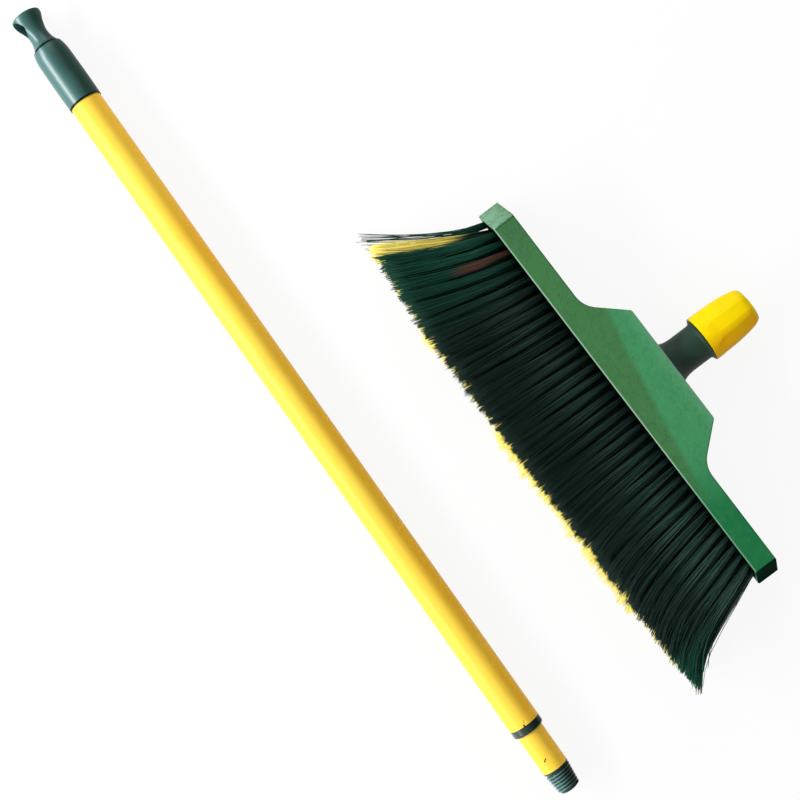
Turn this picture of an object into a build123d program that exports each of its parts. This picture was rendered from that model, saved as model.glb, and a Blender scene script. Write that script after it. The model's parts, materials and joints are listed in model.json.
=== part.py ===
from build123d import *
import os
from math import atan, degrees, hypot, sqrt
from random import Random

# A floor broom with a telescopic handle, laid out with the handle taken off and put down beside the head.
# Millimetres. The head lies on its flat back on the floor plane Z = 0, with its front face up.
# +X runs along the block and nearly along the handle, +Y along the handle socket, away from the bristles.
# The origin is on the block's back, under the socket axis.

# Clearances
SNUG = 0.05              # between pieces that are pressed or screwed together
RUNNING = 0.10           # radial, between a sliding or turning piece and its guide
FREE = 0.30              # between pieces that pass each other without touching
CUT_PAST = 1.0           # how far a cut runs past the face that it opens

# Head cover: a moulded shell, open at the rim, with a hump in the middle for the socket
COVER_FRONT_LENGTH = 310.0
COVER_END_SLANT = 17.0   # how much further the back reaches than the front, at each end
COVER_DEPTH = 45.0
COVER_WALL = 2.6
COVER_EDGE_RADIUS = 1.2
RIM_CHAMFER = 0.8
RIM_FROM_ORIGIN = 20.0
BAND_HEIGHT = 17.5
HUMP_HEIGHT = 43.4
HUMP_CROWN_WIDTH = 97.0
HUMP_SIDE_RUN = 23.5     # how far a hump side leans out between the crown and the band
HUMP_SWEEP_RADIUS = 20.0
HUMP_CORNER_RADIUS = 3.2
HUMP_CORNER_LEAST = 0.3  # on the inside, where the wall leaves no more
RIB_THICKNESS = 2.0
RIB_SPACING = 38.0
RIBS_PER_SIDE = 3

# Tuft block, its rows of bristles and their staples
TUFT_BLOCK_RECESS = 1.5
TUFT_BLOCK_HEIGHT = 12.0
ROW_COUNT = 5
ROW_PITCH = 8.0
STRIP_WIDTH = 5.0
STRIP_THICKNESS = 3.0
STRIP_END_GAP = 0.5
TUFTS_PER_ROW = 39
TUFT_END_MARGIN = 2.5
STAPLE_WIDTH = 2.2
STAPLE_WIRE = 0.6
STAPLE_DEPTH = 2.0
DARK_BRISTLE_LENGTH = 85.5
YELLOW_BRISTLE_LENGTH = 89.0
YELLOW_ROWS = (2, 3)
STRAND_BASE = 1.6
STRAND_TIP = 1.1
STRAND_OFFSET = 1.3
STRAND_ROOT = 0.5        # how deep a strand is rooted in its strip
STRAND_STEPS = (0, 0.4, 0.75, 1)
STRAND_BEND = 1.2        # power of the height by which a strand leans out
FAN_SPREAD = 45.0        # how far the end tufts lean out at their tips
FAN_EVEN = 0.45          # share of that lean which grows evenly along the row; the rest grows as the cube
FAN_OPENING = 0.12       # share of a row's distance from the middle row that its tips open by
FAN_END_DROP = 4.0       # how much shorter the end tufts are than the middle ones
RAGGED = 2.5             # tips end up to this much early or late

# Screws that hold the tuft block and the neck in the cover
SCREW_HEAD_RADIUS = 3.4
SCREW_HEAD_HEIGHT = 2.0
SCREW_SHANK_RADIUS = 1.75
SCREW_LENGTH = 16.0
SCREW_POINT = 0.9
SCREW_SINK = 0.2         # the heads sit this far below the back
SCREW_SLOT_WIDTH = 1.0
SCREW_SLOT_DEPTH = 1.2
SCREW_SLOT_SPAN = 4.0
BLOCK_SCREW_COUNT = 4
BLOCK_SCREW_SPACING = 76.0
NECK_SCREW_SPACING = 30.0

# Socket neck, clamp ring and lock nut
NECK_LENGTH = 30.0       # from the top of the hump to the nut's rim
NECK_BASE_RADIUS = 19.4
NECK_BASE_FLARE = 12.0   # the neck narrows over this height above the hump
NECK_WAIST_RADIUS = 14.5
NECK_TOP_RADIUS = 17.2
NECK_TOP_FLARE = 3.2
NECK_THREAD_RADIUS = 14.8
NECK_THREAD_LENGTH = 24.0
NECK_FLOOR = 5.0         # solid plastic between the foot and the bottom of the bore
NECK_FOOT_WIDTH = 46.0
NECK_FOOT_HEIGHT = 22.0
SOCKET_CLEARANCE = 0.35  # radial, around the handle's tube
SOCKET_THREAD_CLEARANCE = 0.15
RING_CLEARANCE = 0.55
RING_LENGTH = 11.0
RING_WALL = 2.6
RING_TAPER = 1.2         # how much the ring's outer radius drops towards the mouth
RING_SLIT = 3.0
NUT_SEAT_GAP = 0.6
NUT_WALL = 3.4
NUT_MOUTH_WALL = 1.4
NUT_LIP = 6.2
NUT_STRAIGHT = 11.0      # the nut is straight this far up, then draws in to its shoulder
NUT_DRAW = 2.3           # how much less its radius is at the shoulder
NUT_SHOULDER = 6.2       # it rounds in from the shoulder to its mouth over this length
NUT_RIM_BAND = 4.0       # plain band below the flats
NUT_FLATS = 8
NUT_FLAT_DEPTH = 0.6
NUT_FLAT_TURN = -9.0     # degrees
NUT_EDGE_RADIUS = 2.6

# Handle tubes
OUTER_TUBE_RADIUS = 12.5
OUTER_TUBE_WALL = 0.6
OUTER_TUBE_SHOWN = 563.9
INNER_TUBE_RADIUS = 10.5
INNER_TUBE_WALL = 0.6
INNER_TUBE_LENGTH = 565.0
INNER_TUBE_SHOWN = 32.8
HANDLE_MIDDLE_X = -145.2
HANDLE_FROM_RIM = 190.5  # of its middle
HANDLE_TURN = -2.0       # degrees; the handle lies a little askew of the block

# Grip sleeve and hanging cap at the top of the handle
GRIP_LENGTH = 50.2
GRIP_WALL = 0.6
GRIP_SWELL = 0.2
GRIP_NECK_RADIUS = 11.6
GRIP_SHOULDER_LENGTH = 10.5
GRIP_CLOSED_LENGTH = 9.0
GRIP_BOSS_LENGTH = 24.0
GRIP_BOSS_WALL = 3.6
GRIP_RELIEF_LENGTH = 1.6 # the sleeve stands off the tube at its end
GRIP_RELIEF_DEPTH = 0.25
CAP_LENGTH = 30.2
CAP_FLARE_RADIUS = 11.7
CAP_FLARE_FROM_END = 2.4
CAP_WAIST_RADIUS = 7.5
CAP_WAIST_FROM_GRIP = 11.5
CAP_NECK_RADIUS = 10.9
CAP_NOSE_RADIUS = 3.0
CAP_SPIGOT_LENGTH = 28.0
CAP_GROOVE_WIDTH = 1.2   # where the cap meets the grip
CAP_GROOVE_DEPTH = 0.9
HANG_HOLE_RADIUS = 5.8
HANG_HOLE_FROM_END = 8.6
HANG_HOLE_POINT = 17.2   # the teardrop's point, from the end of the cap
HANG_HOLE_ROLL = -28.0   # degrees about the handle

# Collar bush at the bottom of the outer tube, and threaded plug at the bottom of the inner one
COLLAR_LENGTH = 6.6
COLLAR_ROUND = 2.0
COLLAR_KEY_WIDTH = 1.2   # a key on the collar, in a notch of the outer tube
COLLAR_KEY_LENGTH = 1.5
COLLAR_KEY_TURN = 0.0    # degrees from the top of the handle
DIMPLE_RADIUS = 1.4      # a punch mark in the outer tube, beside the key
DIMPLE_DEPTH = 0.3
DIMPLE_FROM_END = 2.6
DIMPLE_TURN = -9.0       # degrees from the top of the handle
BUSH_LENGTH = 26.0
PLUG_SHANK_LENGTH = 28.0
SLIT_LENGTH = 3.4        # a slit in the inner tube, where it is staked to the plug
SLIT_WIDTH = 0.9
SLIT_FROM_END = 10.0
SLIT_SLANT = -50.0       # degrees
SLIT_TURN = 13.0         # degrees from the top of the handle
PLUG_SHOULDER = 1.2
THREAD_LENGTH = 18.4
THREAD_PITCH = 2.5
THREAD_DEPTH = 1.1
THREAD_TAPER = 2.0       # drop of the core's radius over the thread
THREAD_CREST = 0.7
THREAD_ROOT = 1.5
THREAD_BEDDING = 0.2     # how deep the ridge is rooted in its core
THREAD_NOSE = 1.4

# Twist lock inside the outer tube
LOCK_SHANK_LENGTH = 30.0
LOCK_FLANGE = 3.0
STUD_RADIUS = 4.0
EXPANDER_LENGTH = 30.0
EXPANDER_END_WALL = 5.0
EXPANDER_RIM_WALL = 1.6
EXPANDER_THROAT_RADIUS = 6.8
EXPANDER_SLITS = 3
EXPANDER_SLIT_WIDTH = 3.0
WEDGE_LENGTH = 14.0
WEDGE_TRAVEL = 2.0
WASHER_RADIUS = 9.0
WASHER_THICKNESS = 1.2
STOP_SCREW_RADIUS = 2.0
STOP_SCREW_LENGTH = 14.0
STOP_HEAD_RADIUS = 3.8
STOP_HEAD_HEIGHT = 2.6
STOP_SLOT_SPAN = 4.6

# Places that follow from the sizes above
rim_y = -RIM_FROM_ORIGIN
band_top = rim_y + BAND_HEIGHT
hump_top = rim_y + HUMP_HEIGHT
axis_z = COVER_DEPTH / 2
slant = COVER_END_SLANT / COVER_DEPTH
tuft_face_y = rim_y + TUFT_BLOCK_RECESS
tuft_block_top = tuft_face_y + TUFT_BLOCK_HEIGHT
bore_radius = INNER_TUBE_RADIUS + SOCKET_CLEARANCE
socket_thread_radius = INNER_TUBE_RADIUS + SOCKET_THREAD_CLEARANCE
socket_floor = hump_top + NECK_FLOOR
socket_thread_end = socket_floor + THREAD_LENGTH
ring_bore = INNER_TUBE_RADIUS + RING_CLEARANCE
nut_rim = hump_top + NECK_LENGTH
neck_end = nut_rim + NECK_THREAD_LENGTH
ring_start = neck_end + FREE
ring_end = ring_start + RING_LENGTH
nut_end = ring_end + FREE + NUT_LIP

outer_bore = OUTER_TUBE_RADIUS - OUTER_TUBE_WALL
inner_bore = INNER_TUBE_RADIUS - INNER_TUBE_WALL
grip_radius = OUTER_TUBE_RADIUS + SNUG + GRIP_WALL
grip_end = CAP_LENGTH + GRIP_LENGTH
outer_tube_start = CAP_LENGTH + GRIP_CLOSED_LENGTH + SNUG
outer_tube_end = grip_end + OUTER_TUBE_SHOWN
collar_end = outer_tube_end + COLLAR_LENGTH
inner_tube_end = collar_end + INNER_TUBE_SHOWN
inner_tube_start = inner_tube_end - INNER_TUBE_LENGTH
thread_start = inner_tube_end + PLUG_SHOULDER
handle_end = thread_start + THREAD_LENGTH
lock_flange_start = inner_tube_start - LOCK_FLANGE
expander_end = lock_flange_start - FREE
expander_start = expander_end - EXPANDER_LENGTH
stud_start = expander_start - FREE
washer_start = stud_start - WASHER_THICKNESS

handle_middle = Pos(HANDLE_MIDDLE_X, rim_y - HANDLE_FROM_RIM, grip_radius + GRIP_SWELL)
handle_place = handle_middle * Rot(0, 0, HANDLE_TURN) * Pos(-handle_end / 2, 0, 0)
socket_place = Pos(0, 0, axis_z) * Rot(0, 0, 90)


def lathe(outline):
    """Turn an outline about the local X axis, with its height as the radius."""
    return revolve(make_face(outline), Axis.X)


def rod(start, end, radius):
    return lathe(Polyline((start, 0), (end, 0), (end, radius), (start, radius), close=True))


def pipe(start, end, radius, bore):
    return lathe(Polyline((start, bore), (end, bore), (end, radius), (start, radius), close=True))


def end_half_length(z, inset):
    """Half the length of the block at height z, with its slanted ends drawn in by inset."""
    return COVER_FRONT_LENGTH / 2 + slant * (COVER_DEPTH - z) - inset * hypot(1, slant)


def slanted_prism(low_y, high_y, inset):
    """A bar as long as the block at every height, drawn in by inset at the ends, the back and the front."""
    low_z = inset
    high_z = COVER_DEPTH - inset
    back = end_half_length(low_z, inset)
    front = end_half_length(high_z, inset)
    outline = Polyline((-back, low_z), (back, low_z), (front, high_z), (-front, high_z), close=True)
    face = Plane(origin=(0, low_y, 0), x_dir=(1, 0, 0), z_dir=(0, -1, 0)) * make_face(outline)
    return extrude(face, amount=low_y - high_y)


def block_form(inset):
    """The block with its hump, drawn in by inset on every side but the rim."""
    steep = (HUMP_HEIGHT - BAND_HEIGHT) / HUMP_SIDE_RUN
    shift = inset * (1 / steep - hypot(1, 1 / steep))
    crown = HUMP_CROWN_WIDTH / 2 + shift
    foot = HUMP_CROWN_WIDTH / 2 + HUMP_SIDE_RUN + shift
    far = end_half_length(0, 0)
    band = band_top - inset
    top = hump_top - inset
    right = [(far, rim_y), (far, band), (foot, band), (crown, top)]
    left = [(-x, y) for x, y in reversed(right)]
    face = make_face(Polyline(*right, *left, close=True))
    feet = [v for v in face.vertices() if abs(abs(v.X) - foot) < SNUG]
    face = fillet(feet, HUMP_SWEEP_RADIUS + inset)
    crowns = [v for v in face.vertices() if abs(v.Y - top) < SNUG]
    face = fillet(crowns, max(HUMP_CORNER_RADIUS - inset, HUMP_CORNER_LEAST))
    tall = extrude(face, amount=COVER_DEPTH)
    return tall & slanted_prism(rim_y - CUT_PAST, hump_top + CUT_PAST, inset)


def screw_form(grow):
    """A countersunk screw along the local X axis, grown by grow at its sides and its tip."""
    neck = SCREW_SINK + SCREW_HEAD_HEIGHT
    tip = SCREW_SINK + SCREW_LENGTH + grow
    shank = SCREW_SHANK_RADIUS + grow
    head = SCREW_HEAD_RADIUS + grow
    return lathe(
        Polyline(
            (SCREW_SINK, 0), (tip, 0), (tip - SCREW_POINT, shank), (neck, shank), (SCREW_SINK, head),
            close=True,
        )
    )


def screw_hole():
    """The hole for such a screw, open at the back."""
    return screw_form(SNUG) + rod(-CUT_PAST, SCREW_SINK, SCREW_HEAD_RADIUS + SNUG)


def cross_slot(x, span):
    """The driver's cross in a screw head whose top is at x on the local X axis."""
    slot = Box(SCREW_SLOT_DEPTH * 2, span, SCREW_SLOT_WIDTH)
    return Pos(x, 0, 0) * (slot + Rot(90, 0, 0) * slot)


def countersunk_screw():
    return screw_form(0) - cross_slot(SCREW_SINK, SCREW_SLOT_SPAN)


def upward(x, y):
    """Place of a screw that is driven in from the back at x, y."""
    return Pos(x, y, 0) * Rot(0, -90, 0)


block_screw_y = tuft_face_y + (STRIP_THICKNESS + TUFT_BLOCK_HEIGHT) / 2
block_screw_places = [
    upward((i - (BLOCK_SCREW_COUNT - 1) / 2) * BLOCK_SCREW_SPACING, block_screw_y)
    for i in range(BLOCK_SCREW_COUNT)
]
neck_foot_top = hump_top - COVER_WALL
neck_screw_y = neck_foot_top - NECK_FOOT_HEIGHT / 2
neck_screw_places = [upward(side * NECK_SCREW_SPACING / 2, neck_screw_y) for side in (-1, 1)]
screw_holes = [place * screw_hole() for place in block_screw_places + neck_screw_places]


def make_head_cover():
    outer = block_form(0)
    front_edges = outer.faces().sort_by(Axis.Z)[-1].edges()
    brow_edges = [e for e in front_edges if abs(e.center().Y - rim_y) > SNUG]
    outer = fillet(brow_edges, COVER_EDGE_RADIUS)
    front_edges = outer.faces().sort_by(Axis.Z)[-1].edges()
    rim_edges = [e for e in front_edges if abs(e.center().Y - rim_y) < SNUG]
    outer = chamfer(rim_edges, RIM_CHAMFER)
    hollow = block_form(COVER_WALL)
    for side in (-1, 1):
        for i in range(RIBS_PER_SIDE):
            x = side * (HUMP_CROWN_WIDTH / 2 + i * RIB_SPACING)
            rib = Box(RIB_THICKNESS, HUMP_HEIGHT, COVER_DEPTH, align=(Align.CENTER, Align.MIN, Align.MIN))
            hollow -= Pos(x, tuft_block_top, 0) * rib
    neck_hole = socket_place * rod(neck_foot_top - CUT_PAST, hump_top + CUT_PAST, NECK_BASE_RADIUS + SNUG)
    return outer - hollow - neck_hole - screw_holes


def row_z(row):
    """Height of a row above the floor; row 0 is the front one."""
    return axis_z + ((ROW_COUNT - 1) / 2 - row) * ROW_PITCH


def strip_half_length(row):
    return end_half_length(row_z(row) + STRIP_WIDTH / 2, COVER_WALL + SNUG) - STRIP_END_GAP


def make_tuft_block():
    block = slanted_prism(tuft_face_y, tuft_block_top, COVER_WALL + SNUG)
    length = 2 * end_half_length(0, 0)
    groove = Box(length, STRIP_THICKNESS * 2, STRIP_WIDTH + 2 * SNUG)
    grooves = [Pos(0, tuft_face_y, row_z(row)) * groove for row in range(ROW_COUNT)]
    return block - grooves - screw_holes


def tuft_places(row):
    """Where the tufts of a row stand; every other row is set half a step along."""
    span = strip_half_length(row) - TUFT_END_MARGIN
    step = 2 * span / (TUFTS_PER_ROW - 0.5)
    start = row % 2 * step / 2 - span
    return [start + i * step for i in range(TUFTS_PER_ROW)]


def lean_out(x, row):
    """How far the tip of a bristle rooted at x leans out, more steeply towards the ends."""
    share = x / strip_half_length(row)
    return FAN_SPREAD * (FAN_EVEN * share + (1 - FAN_EVEN) * share**3)


def strand(x, z, row, length):
    """One four-sided strand, bent outwards and drawn thinner to its tip."""
    out = lean_out(x, row)
    share = abs(x) / strip_half_length(row)
    reach = length - FAN_END_DROP * share**4
    open_z = FAN_OPENING * (row_z(row) - axis_z)
    sections = []
    for along in STRAND_STEPS:
        width = STRAND_BASE + (STRAND_TIP - STRAND_BASE) * along
        y = tuft_face_y + STRAND_ROOT - (reach + STRAND_ROOT) * along
        spot = (x + out * along**STRAND_BEND, y, z + open_z * along**STRAND_BEND)
        sections.append(Plane(origin=spot, x_dir=(1, 0, 0), z_dir=(0, -1, 0)) * Rectangle(width, width))
    return loft(sections, ruled=True)


def make_bristle_row(row):
    """A row of tufts, two strands to a tuft, on the strip that they are bound in."""
    chance = Random(row)
    length = YELLOW_BRISTLE_LENGTH if row in YELLOW_ROWS else DARK_BRISTLE_LENGTH
    strip_plane = Plane(origin=(0, tuft_face_y, row_z(row)), x_dir=(1, 0, 0), z_dir=(0, 1, 0))
    outline = Rectangle(2 * strip_half_length(row), STRIP_WIDTH)
    slot = Rectangle(STAPLE_WIDTH + 2 * SNUG, STAPLE_WIRE + 2 * SNUG)
    outline -= [Pos(x, 0) * slot for x in tuft_places(row)]
    strip = extrude(strip_plane * outline, amount=STRIP_THICKNESS)
    strands = []
    for x in tuft_places(row):
        for side in (-1, 1):
            spare = RAGGED * (2 * chance.random() - 1)
            z = row_z(row) - side * STRAND_OFFSET
            strands.append(strand(x + side * STRAND_OFFSET, z, row, length + spare))
    return strip + strands


def make_tuft_staples():
    """One flat wire staple behind each tuft, flush with the back of its strip."""
    staple = Box(STAPLE_WIDTH, STAPLE_DEPTH, STAPLE_WIRE)
    y = tuft_face_y + STRIP_THICKNESS - STAPLE_DEPTH / 2
    return [Pos(x, y, row_z(row)) * staple for row in range(ROW_COUNT) for x in tuft_places(row)]


def helical_ridge(start, turns, root_radius, tip_radius, root_taper):
    """A thread ridge about the local X axis; it stands out or in, from its root to its tip radius."""
    height = turns * THREAD_PITCH
    drop = root_taper * height / THREAD_LENGTH
    path = Helix(THREAD_PITCH, height, root_radius, cone_angle=-degrees(atan(drop / height)))
    high = tip_radius - root_radius
    outline = Polyline(
        (0, -THREAD_ROOT / 2), (high, -THREAD_CREST / 2), (high, THREAD_CREST / 2), (0, THREAD_ROOT / 2),
        close=True,
    )
    section = Plane(origin=path @ 0, x_dir=(1, 0, 0), z_dir=path % 0) * make_face(outline)
    return Pos(start, 0, 0) * Rot(0, 90, 0) * sweep(section, path, is_frenet=True)


def make_neck_socket():
    """The socket: a foot held in the hump, a waisted neck, the nut's thread and the handle's bore."""
    seat = nut_rim - NUT_SEAT_GAP
    flare_low = hump_top + NECK_BASE_FLARE
    flare_high = seat - NECK_TOP_FLARE
    base_drop = NECK_BASE_RADIUS - NECK_WAIST_RADIUS
    top_rise = NECK_TOP_RADIUS - NECK_WAIST_RADIUS
    outline = (
        Polyline((neck_foot_top, 0), (neck_foot_top, NECK_BASE_RADIUS), (hump_top, NECK_BASE_RADIUS))
        + EllipticalCenterArc((flare_low, NECK_BASE_RADIUS), NECK_BASE_FLARE, base_drop, 180)
        + Line((flare_low, NECK_WAIST_RADIUS), (flare_high, NECK_WAIST_RADIUS))
        + EllipticalCenterArc((flare_high, NECK_TOP_RADIUS), NECK_TOP_FLARE, top_rise, 270)
        + Polyline(
            (seat, NECK_TOP_RADIUS), (seat, NECK_THREAD_RADIUS), (neck_end, NECK_THREAD_RADIUS),
            (neck_end, 0), (neck_foot_top, 0),
        )
    )
    foot_depth = COVER_DEPTH - 2 * (COVER_WALL + SNUG)
    foot = Box(NECK_FOOT_WIDTH, NECK_FOOT_HEIGHT, foot_depth, align=(Align.CENTER, Align.MAX, Align.CENTER))
    bore = rod(socket_floor, neck_end + CUT_PAST, socket_thread_radius)
    bore += rod(socket_thread_end, neck_end + CUT_PAST, bore_radius)
    turns = THREAD_LENGTH / THREAD_PITCH - 2
    root = socket_thread_radius + THREAD_BEDDING
    ridge = helical_ridge(socket_floor + THREAD_PITCH, turns, root, socket_thread_radius - THREAD_DEPTH, 0)
    neck = socket_place * (lathe(outline) - bore + ridge)
    return neck + Pos(0, neck_foot_top, axis_z) * foot - screw_holes


def make_clamp_ring():
    """A split ring that the nut's tapered mouth squeezes onto the handle."""
    wide = ring_bore + RING_WALL
    outline = Polyline(
        (ring_start, ring_bore), (ring_end, ring_bore), (ring_end, wide - RING_TAPER), (ring_start, wide),
        close=True,
    )
    outward = (Align.MIN, Align.MIN, Align.CENTER)
    slit = Box(RING_LENGTH + 2 * CUT_PAST, wide + CUT_PAST, RING_SLIT, align=outward)
    return socket_place * (lathe(outline) - Pos(ring_start - CUT_PAST, 0, 0) * slit)


nut_bore = NECK_THREAD_RADIUS + RUNNING
nut_mouth = ring_bore + FREE
nut_radius = nut_bore + NUT_WALL
nut_straight_end = nut_rim + NUT_STRAIGHT


def nut_side(inset):
    """The nut's outline from its straight part over the shoulder to its mouth, drawn in by inset."""
    shoulder = (nut_end - NUT_SHOULDER, nut_radius - NUT_DRAW - inset)
    end = (nut_end, nut_mouth + NUT_MOUTH_WALL - inset)
    side = TangentArc((nut_straight_end, nut_radius - inset), shoulder, tangent=(1, 0))
    return side + TangentArc(shoulder, end, tangent=side % 1) + Line(end, (nut_end, 0))


def make_lock_nut():
    """The nut: a bore over the neck's thread, a tapered seat over the ring, and flats outside."""
    seat_wide = ring_bore + RING_WALL + FREE
    seat_small = seat_wide - RING_TAPER
    seat_end = ring_end + FREE
    body = lathe(
        Polyline((nut_end, 0), (nut_rim, 0), (nut_rim, nut_radius), (nut_straight_end, nut_radius))
        + nut_side(0)
    )
    body = fillet(body.faces().sort_by(Axis.X)[-1].edges(), NUT_EDGE_RADIUS)
    band_end = nut_rim + NUT_RIM_BAND
    far = nut_radius + CUT_PAST
    flat_line = (
        Polyline(
            (nut_end, 0), (nut_rim, 0), (nut_rim, far), (band_end, far), (band_end, nut_radius),
            (nut_straight_end, nut_radius - NUT_FLAT_DEPTH),
        )
        + nut_side(NUT_FLAT_DEPTH)
    )
    half_slab = extrude(make_face(flat_line), amount=far, both=True)
    slab = half_slab + mirror(half_slab, Plane.XZ)
    for i in range(NUT_FLATS // 2):
        body &= Rot(NUT_FLAT_TURN + i * 360 / NUT_FLATS, 0, 0) * slab
    below = nut_rim - CUT_PAST
    above = nut_end + CUT_PAST
    hollow = lathe(
        Polyline(
            (below, 0), (below, nut_bore), (ring_start, nut_bore), (ring_start, seat_wide),
            (seat_end, seat_small), (seat_end, nut_mouth), (above, nut_mouth), (above, 0), close=True,
        )
    )
    return socket_place * (body - hollow)


def collar_key(grow):
    """A bar over the end of the outer tube, for the collar's key and, grown, for its notch."""
    length = COLLAR_KEY_LENGTH + grow
    width = COLLAR_KEY_WIDTH + 2 * grow
    bar = Box(length, width, OUTER_TUBE_RADIUS * 2, align=(Align.MAX, Align.CENTER, Align.MIN))
    return Rot(COLLAR_KEY_TURN, 0, 0) * Pos(outer_tube_end, 0, 0) * bar


def make_outer_tube():
    tube = pipe(outer_tube_start, outer_tube_end, OUTER_TUBE_RADIUS, outer_bore)
    ball = (DIMPLE_RADIUS**2 + DIMPLE_DEPTH**2) / (2 * DIMPLE_DEPTH)
    dimple = Pos(outer_tube_end - DIMPLE_FROM_END, 0, OUTER_TUBE_RADIUS - DIMPLE_DEPTH + ball) * Sphere(ball)
    return handle_place * (tube - collar_key(SNUG) - Rot(DIMPLE_TURN, 0, 0) * dimple)


def make_inner_tube():
    tube = pipe(inner_tube_start, inner_tube_end, INNER_TUBE_RADIUS, inner_bore)
    slit = Box(SLIT_LENGTH, SLIT_WIDTH, INNER_TUBE_RADIUS * 2, align=(Align.CENTER, Align.CENTER, Align.MIN))
    slit = Pos(inner_tube_end - SLIT_FROM_END, 0, 0) * Rot(0, 0, SLIT_SLANT) * slit
    return handle_place * (tube - Rot(SLIT_TURN, 0, 0) * slit)


def make_grip_sleeve():
    """The grip: a rounded shoulder, a sleeve over the tube and a boss inside it."""
    start = CAP_LENGTH
    shoulder = start + GRIP_SHOULDER_LENGTH
    slot_end = start + GRIP_CLOSED_LENGTH
    boss_end = slot_end + GRIP_BOSS_LENGTH
    slot = OUTER_TUBE_RADIUS + SNUG
    boss = outer_bore - SNUG
    hole = boss - GRIP_BOSS_WALL
    swell = ((shoulder + grip_end) / 2, grip_radius + GRIP_SWELL)
    relief_start = grip_end - GRIP_RELIEF_LENGTH
    relief = slot + GRIP_RELIEF_DEPTH
    outline = (
        Line((start, hole), (start, GRIP_NECK_RADIUS))
        + TangentArc((shoulder, grip_radius), (start, GRIP_NECK_RADIUS), tangent=(-1, 0))
        + ThreePointArc((shoulder, grip_radius), swell, (grip_end, grip_radius))
        + Polyline(
            (grip_end, grip_radius), (grip_end, relief), (relief_start, relief), (relief_start, slot),
            (slot_end, slot), (slot_end, boss), (boss_end, boss), (boss_end, hole), (start, hole),
        )
    )
    return handle_place * lathe(outline)


def make_hang_cap():
    """The hanging cap: a flared end with a teardrop hole through it, on a spigot in the grip's boss."""
    spigot = outer_bore - SNUG - GRIP_BOSS_WALL - SNUG
    spigot_end = CAP_LENGTH + CAP_SPIGOT_LENGTH
    flare = (CAP_FLARE_FROM_END, CAP_FLARE_RADIUS)
    waist = (CAP_LENGTH - CAP_WAIST_FROM_GRIP, CAP_WAIST_RADIUS)
    nose_rise = CAP_FLARE_RADIUS - CAP_NOSE_RADIUS
    outline = (
        Line((0, 0), (0, CAP_NOSE_RADIUS))
        + EllipticalCenterArc((CAP_FLARE_FROM_END, CAP_NOSE_RADIUS), CAP_FLARE_FROM_END, nose_rise, 90)
        + Spline(flare, waist, tangents=((1, 0), (1, 0)))
        + TangentArc(waist, (CAP_LENGTH, CAP_NECK_RADIUS), tangent=(1, 0))
        + Polyline(
            (CAP_LENGTH, CAP_NECK_RADIUS), (CAP_LENGTH, spigot), (spigot_end, spigot), (spigot_end, 0),
            (0, 0),
        )
    )
    groove_start = CAP_LENGTH - CAP_GROOVE_WIDTH
    groove = pipe(groove_start, CAP_LENGTH, CAP_FLARE_RADIUS, CAP_NECK_RADIUS - CAP_GROOVE_DEPTH)
    body = lathe(outline) - groove
    reach = HANG_HOLE_POINT - HANG_HOLE_FROM_END
    touch_x = HANG_HOLE_FROM_END + HANG_HOLE_RADIUS**2 / reach
    touch_z = HANG_HOLE_RADIUS * sqrt(1 - (HANG_HOLE_RADIUS / reach) ** 2)
    point = make_face(Polyline((touch_x, touch_z), (HANG_HOLE_POINT, 0), (touch_x, -touch_z), close=True))
    drop = Pos(HANG_HOLE_FROM_END, 0) * Circle(HANG_HOLE_RADIUS) + point
    across = Plane(origin=(0, 0, 0), x_dir=(1, 0, 0), z_dir=(0, -1, 0)) * drop
    hole = extrude(across, amount=CAP_FLARE_RADIUS + CUT_PAST, both=True)
    return handle_place * Rot(HANG_HOLE_ROLL, 0, 0) * (body - hole)


def make_collar_bush():
    """The collar that closes the outer tube, with the bush that guides the inner tube."""
    bore = INNER_TUBE_RADIUS + RUNNING
    bush = outer_bore - SNUG
    start = outer_tube_end - BUSH_LENGTH
    collar = pipe(outer_tube_end, collar_end, OUTER_TUBE_RADIUS, bore)
    rim = collar.faces().sort_by(Axis.X)[-1].edges().sort_by(SortBy.RADIUS)[-1]
    collar = fillet(rim, min(COLLAR_ROUND, OUTER_TUBE_RADIUS - bore - 3 * SNUG))
    key = collar_key(0) & pipe(start, outer_tube_end, OUTER_TUBE_RADIUS, bush - SNUG)
    return handle_place * (collar + pipe(start, outer_tube_end, bush, bore) + key)


def make_thread_plug():
    """The plug that screws into the socket: a shank in the inner tube and a tapered thread."""
    shank = inner_bore - SNUG
    shank_start = inner_tube_end - PLUG_SHANK_LENGTH
    core = INNER_TUBE_RADIUS - THREAD_DEPTH
    tip = core - THREAD_TAPER
    body = lathe(
        Polyline(
            (shank_start, 0), (shank_start, shank), (inner_tube_end, shank),
            (inner_tube_end, INNER_TUBE_RADIUS), (thread_start, INNER_TUBE_RADIUS), (thread_start, core),
            (handle_end, tip), (handle_end, 0), close=True,
        )
    )
    nose_edges = body.faces().sort_by(Axis.X)[-1].edges()
    body = fillet(nose_edges, THREAD_NOSE)
    turns = (THREAD_LENGTH - THREAD_NOSE) / THREAD_PITCH - 0.5
    ridge_start = thread_start + THREAD_PITCH / 2
    ridge = helical_ridge(ridge_start, turns, core - THREAD_BEDDING, INNER_TUBE_RADIUS, THREAD_TAPER)
    return handle_place * (body + ridge)


def make_lock_core():
    """The plug in the top of the inner tube, with a flange and the stud of the twist lock."""
    shank = inner_bore - SNUG
    flange = outer_bore - FREE
    shank_end = inner_tube_start + LOCK_SHANK_LENGTH
    outline = Polyline(
        (stud_start, 0), (stud_start, STUD_RADIUS), (lock_flange_start, STUD_RADIUS),
        (lock_flange_start, flange), (inner_tube_start, flange), (inner_tube_start, shank),
        (shank_end, shank), (shank_end, 0), close=True,
    )
    hole = rod(stud_start - CUT_PAST, stud_start + STOP_SCREW_LENGTH + SNUG, STOP_SCREW_RADIUS + SNUG)
    return handle_place * (lathe(outline) - hole)


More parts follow.
